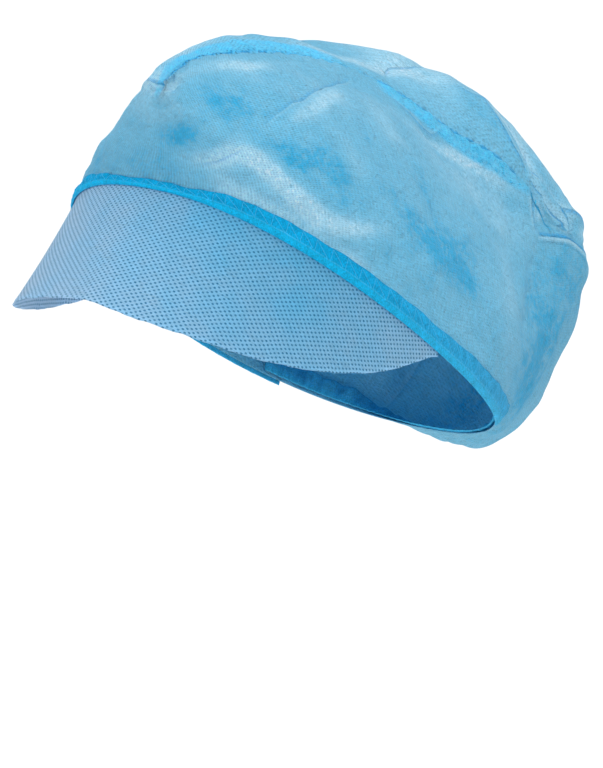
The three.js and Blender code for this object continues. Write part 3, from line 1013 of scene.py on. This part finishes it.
BAND_LOW = 1.3  # how far the band reaches below the rim
BAND_GAP = 0.42  # from the middle of the crown's cloth to the band
BAND_FOLDED = 10.0  # width of the band and of the casing, as they are folded
BAND_PITCH = 1.6  # flat length of the band to a degree
CASING_PITCH = 1.9  # and of the casing
RIM_PITCH = 1.5  # and of the rim, roughly
BAND_COVERED = 3.4  # how much narrower the band is drawn where cloth bulges over the brow


def band_width(turn):
    """From the rim to the band's upper edge: wider towards the ends, with a slight waver."""
    low, high = BAND_WIDTH
    waver = 0.22 * np.sin(turn / 3.1) + 0.16 * np.sin(turn / 1.37 + 2)
    hidden = BAND_COVERED * (1 - smoothstep(8, 34, np.abs(turn)))
    return low + (high - low) * np.abs(turn) / BAND_END + waver - 0.4 - hidden


def band_relief(turn, up):
    """How far the band's face stands out of its plain form: it is drawn in along the stitches and
    puffs out between them, and its fold lies a little higher than its face."""
    step = turn * 4.0
    puff = 0.16 * np.sin(step / 2.3 + 1.5 * np.sin(turn / 7)) + 0.1 * np.sin(step / 0.9)
    return (puff * np.sin(np.pi * np.clip(up, 0, 1)) + 0.25 * bell(up - 0.2, 0.16)
            - 0.22 * bell(up - 0.38, 0.06))


def band_taper(up):
    """The band thins out towards its upper edge."""
    return 1 - 0.45 * smoothstep(0.7, 1, up)


def band_length(turn, up):
    """Lengths up from the rim, for shares of the band's height."""
    return up * (band_width(turn) + BAND_LOW) - BAND_LOW


def band_outside(turn, up, thickness, over=0.0):
    """Points on the band's outer face, at shares up of its height."""
    out = (BAND_GAP + thickness) * band_taper(up) + over + band_relief(turn, up)
    return on_cloth(turn, band_length(turn, up), out)


def strip_section(sides, squareness, fullness):
    """Round a folded strip: the share up of its height, and the side, from -1 inside to 1 outside,
    as powers of the cosine and the sine."""
    angle = np.linspace(0, 2 * np.pi, sides, endpoint=False)[:, None]
    return ((1 - signed_power(np.cos(angle), squareness)) / 2,
            signed_power(np.sin(angle), fullness))


def folded_strip(name, turn, up, points, pitch):
    """A closed strip of cloth, from points round it by turns. pitch is its flat length to a
    degree."""
    points = points.swapaxes(0, 1)[::-1]
    around = np.linspace(0, 2 * BAND_FOLDED, len(up) + 1)[None]
    flat = np.stack(np.broadcast_arrays(turn[::-1, None] * pitch, around), axis=-1)
    marks = {"up": np.broadcast_to(up, (len(up), len(turn))).T}
    strip = surface(name, points, ring=True, flat=flat, marks=marks, capped=True)
    return strip, float(steps_along(points[:, 0]).sum()) * MM


class FoldBand(bpy.types.Operator):
    """Fold the brow band round the crown's edge and the top of the peak"""

    bl_idname = "peaked_cap.fold_band"
    bl_label = "Fold the brow band"

    def execute(self, context):
        thick = context.scene.cap_sizes.band / MM
        turn = np.linspace(-BAND_END, BAND_END, 620)
        up, side = strip_section(40, 0.55, 0.5)
        relief = band_relief(turn, up) * np.clip(side, 0, 1)
        out = (BAND_GAP + thick / 2 * (1 + side)) * band_taper(up) + relief
        points = on_cloth(turn, band_length(turn, up), out)
        band, long = folded_strip("brow_binding", turn, up, points, BAND_PITCH)
        dress(band, band_finish(context.scene.cap_colours), "brow_band")
        return {"FINISHED"}


class StitchBand(bpy.types.Operator):
    """Stitch the brow band with overlock thread: loops across it and a line along its fold"""

    bl_idname = "peaked_cap.stitch_band"
    bl_label = "Stitch the band"

    def execute(self, context):
        sizes = context.scene.cap_sizes
        thick, thread = sizes.band / MM, sizes.thread / MM / 2
        step = sizes.stitch / MM / RIM_PITCH
        finish = thread_finish(context.scene.cap_colours)
        reach = BAND_END - 2
        count = int(2 * reach / step)
        first = -reach + step * np.arange(count)
        first = first + np.random.default_rng(12).uniform(-0.3, 0.3, count)
        # each loop goes up across the band, leaning forward, and back down, as two threads
        part = np.linspace(0, 1, 9)
        turns = first[:, None, None] + step * np.stack([0.12 * part, 0.12 + 0.8 * part])
        ups = np.broadcast_to(np.stack([0.4 + 0.56 * part, 0.96 - 0.56 * part]), turns.shape)
        line = band_outside(turns.ravel(), ups.ravel()[None], thick, over=0.02)
        radius = thread * np.array([0.6] + [0.8] * 7 + [0.6])
        turn = np.linspace(-reach, reach, 900)
        row, edge = (band_outside(turn, up[None], thick, over=over) for up, over in (
            (0.385 + 0.02 * np.sin(turn / 1.1), 0.02), (0.03 + 0.02 * np.sin(turn / 0.8), -0.3)))
        for name, line, radius, sides in (("overlock_loops", line.reshape(-1, 9, 3), radius, 5),
                                          ("overlock_row", row[0], thread, 6),
                                          ("overlock_edge", edge[0], thread, 6)):
            rings = tube(line, np.broadcast_to(radius, line.shape[:-1]), outward(line), sides)
            dress(surface(name, rings, ring=True, capped=True), finish)
        return {"FINISHED"}


# ---- the nape's casing ----

CASING_END = 50.0  # degrees from the nape to each side
CASING_WIDTH = 8.6
CASING_LOW = 0.5  # how far above the rim it starts
CASING_INSIDE = 1.7  # from the crown's cloth to its middle


class GatherNape(bpy.types.Operator):
    """Gather the nape's hem over its elastic, inside the crown"""

    bl_idname = "peaked_cap.gather_nape"
    bl_label = "Gather the nape"

    def execute(self, context):
        turn = np.linspace(180 - CASING_END, 180 + CASING_END, 360)
        up, side = strip_section(24, 1, 0.7)
        waver = 0.35 * np.sin(turn / 2.3) + 0.2 * np.sin(turn / 1.07)
        length = CASING_LOW + up * (CASING_WIDTH + waver)
        gather = 0.22 * np.sin(turn * 2.6 + 2 * np.sin(turn / 6)) + 0.12 * np.sin(turn * 6.1)
        out = -CASING_INSIDE + 0.5 * side + gather * (0.4 + np.sin(np.pi * up))
        points = on_cloth(turn, length, out, fine=False)
        casing, long = folded_strip("nape_casing", turn, up, points, CASING_PITCH)
        dress(casing, band_finish(context.scene.cap_colours), "nape_elastic")
        return {"FINISHED"}


# ---- the peak ----

PEAK_TUCK = 3.2  # how much of the peak goes up between crown and band
PEAK_BEND = 2.2  # how far out of the band it is straight again
PEAK_UNDER = 5.5  # length of the flat cloth from the tuck's edge to there
TUCK_HIDDEN = 1.4  # how far the tuck stays below the band's upper edge
PEAK_PITCH = (2.61, 2.06)  # spacing of its bond points, across and out
PEAK_LEAN = 0.5


def peak_rulings(share):
    """Where each straight line of the peak starts, its direction and its length. The peak drops
    more steeply towards its ends and its depth falls off with a power of the distance from its
    middle."""
    turn = PEAK_MIDDLE + PEAK_REACH * share
    heading = np.radians(PEAK_MIDDLE + PEAK_FAN * PEAK_REACH * share)
    flat_drop, steep_drop = PEAK_DROP
    drop = np.radians(flat_drop + (steep_drop - flat_drop) * np.abs(share) ** PEAK_STEEPENING)
    start = rim_point(turn) - np.array([0, 0, PEAK_START])
    away = vectors(np.sin(heading) * np.cos(drop), -np.cos(heading) * np.cos(drop), -np.sin(drop))
    facing = vectors(np.sin(heading) * np.sin(drop), -np.cos(heading) * np.sin(drop), np.cos(drop))
    return turn, start, away, facing, PEAK_DEPTH * (1 - np.abs(share) ** PEAK_ROUNDING)


def unrolled(start, away):
    """Where straight lines that start at start and run along away come to lie when the surface
    between them is rolled out flat: the angles between each line and the step to the next one add
    up along the edge."""
    step = np.diff(start, axis=0)
    length = norm(step)
    step = step / length[:, None]
    leaving = np.arccos(np.clip((step * away[:-1]).sum(-1), -1, 1))
    arriving = np.arccos(np.clip((step * away[1:]).sum(-1), -1, 1))
    line = np.concatenate([[0], np.cumsum(arriving - leaving)])
    middle = len(start) // 2
    line = line - line[middle] + np.pi / 2
    heading = line[:-1] - leaving
    places = np.concatenate([[0], np.cumsum(length * np.exp(1j * heading))])
    return places - places[middle], np.exp(1j * line)


class CutPeak(bpy.types.Operator):
    """Cut the peak from a stiffer nonwoven and bend it along straight lines"""

    bl_idname = "peaked_cap.cut_peak"
    bl_label = "Cut the peak"

    def execute(self, context):
        share = PEAK_TIP * np.linspace(-1, 1, 420)
        turn, start, away, facing, depth = peak_rulings(share)
        part = np.linspace(0, 1, 72)[:, None]
        out = np.minimum(PEAK_BEND + part * (depth - PEAK_BEND), depth)
        ripple = (0.28 * np.sin(share * 24 + 0.8) + 0.2 * np.sin(share * 41)
                  + 0.12 * np.sin(share * 83))
        lift = ripple * part ** 2 - 0.5 * np.sin(np.pi * part) * (1 - share ** 2)
        nicks = 0.12 * waves(share * 90, share * 0, 10, 9, 2.5, seed=21) * part ** 6
        outer = start + away * (out + nicks)[..., None] + facing * lift[..., None]
        # the tuck curves from the crown's cloth under the band out to the straight part
        bend = np.linspace(0, 1, 9)[:-1, None]
        length = np.minimum(PEAK_TUCK, band_width(turn) - TUCK_HIDDEN)[None]
        top = on_cloth(turn, length, np.full_like(length, 0.28))
        middle = start + np.array([0, 0, 0.3]) + outward(start) * 0.1
        a, b = (1 - bend)[..., None], bend[..., None]
        tuck = a ** 2 * top + 2 * a * b * middle + b ** 2 * outer[:1]
        points = np.concatenate([tuck, outer])
        places, lines = unrolled(start, away)
        along = np.concatenate([PEAK_BEND - (1 - bend) * PEAK_UNDER + 0 * share, out])
        flat = places + lines * along
        flat = np.stack([flat.real, flat.imag], axis=-1)
        tone = bell(share - 0.4, 0.55) * (1 - 0.45 * np.clip(along / PEAK_DEPTH, 0, 1))
        fringe = smoothstep(depth - 1.5, depth - 0.3, along) + smoothstep(-0.7, -0.95, share)
        peak = surface("peak_sheet", points[::-1], flat=flat[::-1], marks={
            "tone": tone[::-1], "fringe": np.broadcast_to(fringe, along.shape)[::-1]})
        thicken(peak, context.scene.cap_sizes.peak)
        dress(peak, peak_finish(context.scene.cap_colours), "peak")
        middle = start + away * depth[:, None] / 2
        steps = steps_along(middle)
        return {"FINISHED"}


# ---- the studio ----

VIEW_AZIMUTH = math.radians(42)
VIEW_ELEVATION = math.radians(10)
VIEW_ROLL = math.radians(1.5)
VIEW_HEIGHT = 0.2855  # metres of the picture's height at the origin
VIEW_LENS = 600.0
VIEW_SENSOR = 36.0
VIEW_CENTRE = (0.0050, -0.0282)  # right of and above the origin, in metres
FLOOR_DROP = 1.2
FLOOR_REACH = 60.0

Light = namedtuple("Light", "name strength spread tilt turn")  # angles in degrees
LIGHTS = (
    Light("key", 1.1, 20, 46, 40),
    Light("top", 1.35, 30, 18, 160),
    Light("front", 0.6, 50, 60, -30),
)
SKY_ON_CAP = 0.46
SKY_SEEN = 1.0


class SetStage(bpy.types.Operator):
    """Set up the pale floor, the soft lights and the camera"""

    bl_idname = "peaked_cap.set_stage"
    bl_label = "Set the stage"

    def execute(self, context):
        scene = context.scene
        across = math.cos(VIEW_ELEVATION)
        back = Vector((math.sin(VIEW_AZIMUTH) * across, -math.cos(VIEW_AZIMUTH) * across,
                       math.sin(VIEW_ELEVATION)))
        right = Vector((math.cos(VIEW_AZIMUTH), math.sin(VIEW_AZIMUTH), 0))
        up = back.cross(right)
        turned = Matrix.Rotation(VIEW_ROLL, 3, back)
        right, up = turned @ right, turned @ up
        camera = new_object("camera", bpy.data.cameras.new("camera"))
        camera.data.lens = VIEW_LENS
        camera.data.sensor_width = VIEW_SENSOR
        camera.data.clip_end = 2 * FLOOR_REACH
        distance = VIEW_HEIGHT * VIEW_LENS / VIEW_SENSOR
        place = Matrix((right, up, back)).transposed().to_4x4()
        place.translation = right * VIEW_CENTRE[0] + up * VIEW_CENTRE[1] + back * distance
        camera.matrix_world = place
        scene.camera = camera

        floor = bpy.data.meshes.new("floor")
        corners = ((-1, -1), (1, -1), (1, 1), (-1, 1))
        floor.from_pydata([(x * FLOOR_REACH, y * FLOOR_REACH, -FLOOR_DROP) for x, y in corners],
                          [], [(0, 1, 2, 3)])
        floor.materials.append(floor_finish(scene.cap_colours))
        new_object("floor", floor)

        scene.view_settings.view_transform = "Standard"
        scene.world = bpy.data.worlds.new("studio")
        sky = Finish(scene.world)
        on_cap, seen = (
            sky.node("ShaderNodeBackground", {}, {"Color": (1, 1, 1, 1), "Strength": value})
            for value in (SKY_ON_CAP, SKY_SEEN))
        both = sky.node("ShaderNodeMixShader", {}, {
            0: sky.node("ShaderNodeLightPath"), 1: on_cap, 2: seen})
        sky.node("ShaderNodeOutputWorld", {}, {"Surface": both})
        for row in LIGHTS:
            light = bpy.data.lights.new(row.name, "SUN")
            light.energy = row.strength
            light.angle = math.radians(row.spread)
            lamp = new_object(row.name, light)
            lamp.rotation_euler = (math.radians(row.tilt), 0, math.radians(row.turn))
        return {"FINISHED"}


class CapPanel(bpy.types.Panel):
    """Lists the cap's settings and its steps"""

    bl_idname = "PEAKED_CAP_PT_steps"
    bl_label = "Peaked cap"
    bl_space_type = "VIEW_3D"
    bl_region_type = "UI"
    bl_category = "Peaked cap"

    def draw(self, context):
        for settings in (context.scene.cap_sizes, context.scene.cap_colours):
            column = self.layout.column(align=True)
            for name in settings.__annotations__:
                column.prop(settings, name)
        column = self.layout.column()
        for step in STEPS:
            column.operator(step.bl_idname)


STEPS = (SetStage, SewCrown, LaySeam, FoldBand, StitchBand, GatherNape, CutPeak)
CLASSES = (CapSizes, CapColours) + STEPS + (CapPanel,)


def register():
    for kind in CLASSES:
        bpy.utils.register_class(kind)
    bpy.types.Scene.cap_sizes = bpy.props.PointerProperty(type=CapSizes)
    bpy.types.Scene.cap_colours = bpy.props.PointerProperty(type=CapColours)


def unregister():
    del bpy.types.Scene.cap_sizes, bpy.types.Scene.cap_colours
    for kind in reversed(CLASSES):
        bpy.utils.unregister_class(kind)


def main():
    """Takes every step."""
    register()
    for step in STEPS:
        getattr(bpy.ops.peaked_cap, step.bl_idname.split(".")[1])()


if __name__ == "__main__":
    main()
